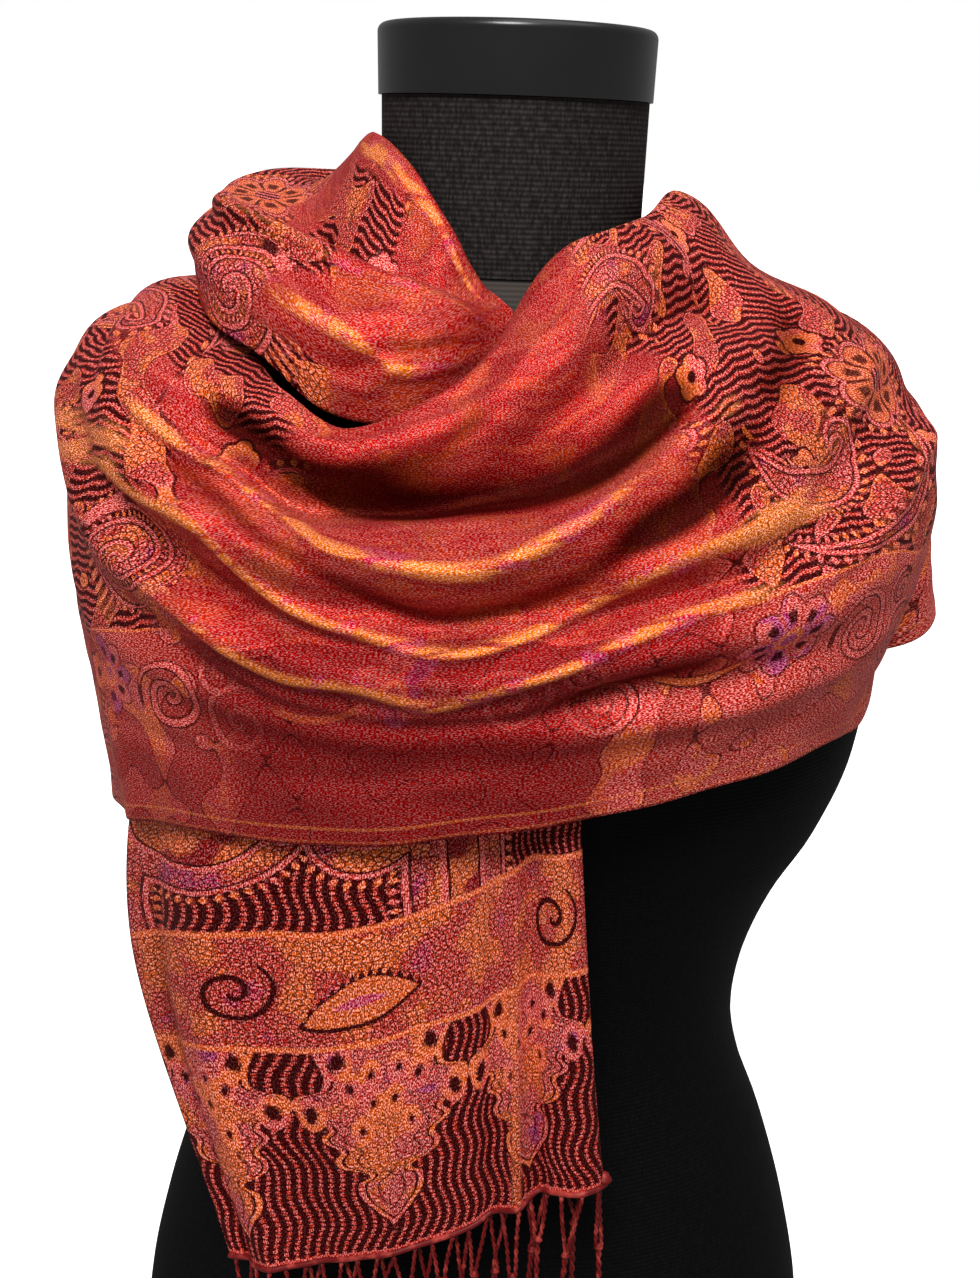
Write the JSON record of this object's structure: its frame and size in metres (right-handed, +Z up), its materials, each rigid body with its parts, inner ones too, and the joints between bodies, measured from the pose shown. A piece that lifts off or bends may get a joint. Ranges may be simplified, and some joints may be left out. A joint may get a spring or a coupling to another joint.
{
  "type": "silk shawl on limbless dress form",
  "caption": "Fringed silk shawl wound about the shoulders and neck of a limbless dress form that stands on its own flat base.",
  "frame": {"origin": "centre of the dress form's flat underside", "axes": "+Z up along the form's neck, the form's front faces -Y, +X to the right seen from the front"},
  "size_m": [0.3969, 0.3104, 0.7101],
  "materials": {
    "shawl_silk": "satin silk jacquard, red and coral with orange and pink figures",
    "fringe_silk": "twisted silk yarn",
    "jersey": "black knit jersey",
    "neck_block": "black, glossy"
  },
  "bodies": {
    "root": {"form_torso": "jersey", "form_neck": "jersey", "form_neck_block": "neck_block", "shawl_cape": "shawl_silk", "shawl_neck_band": "shawl_silk", "shawl_front_end": "shawl_silk", "shawl_back_end": "shawl_silk", "fringe_front": "fringe_silk", "fringe_back": "fringe_silk"}
  },
  "joints": []
}
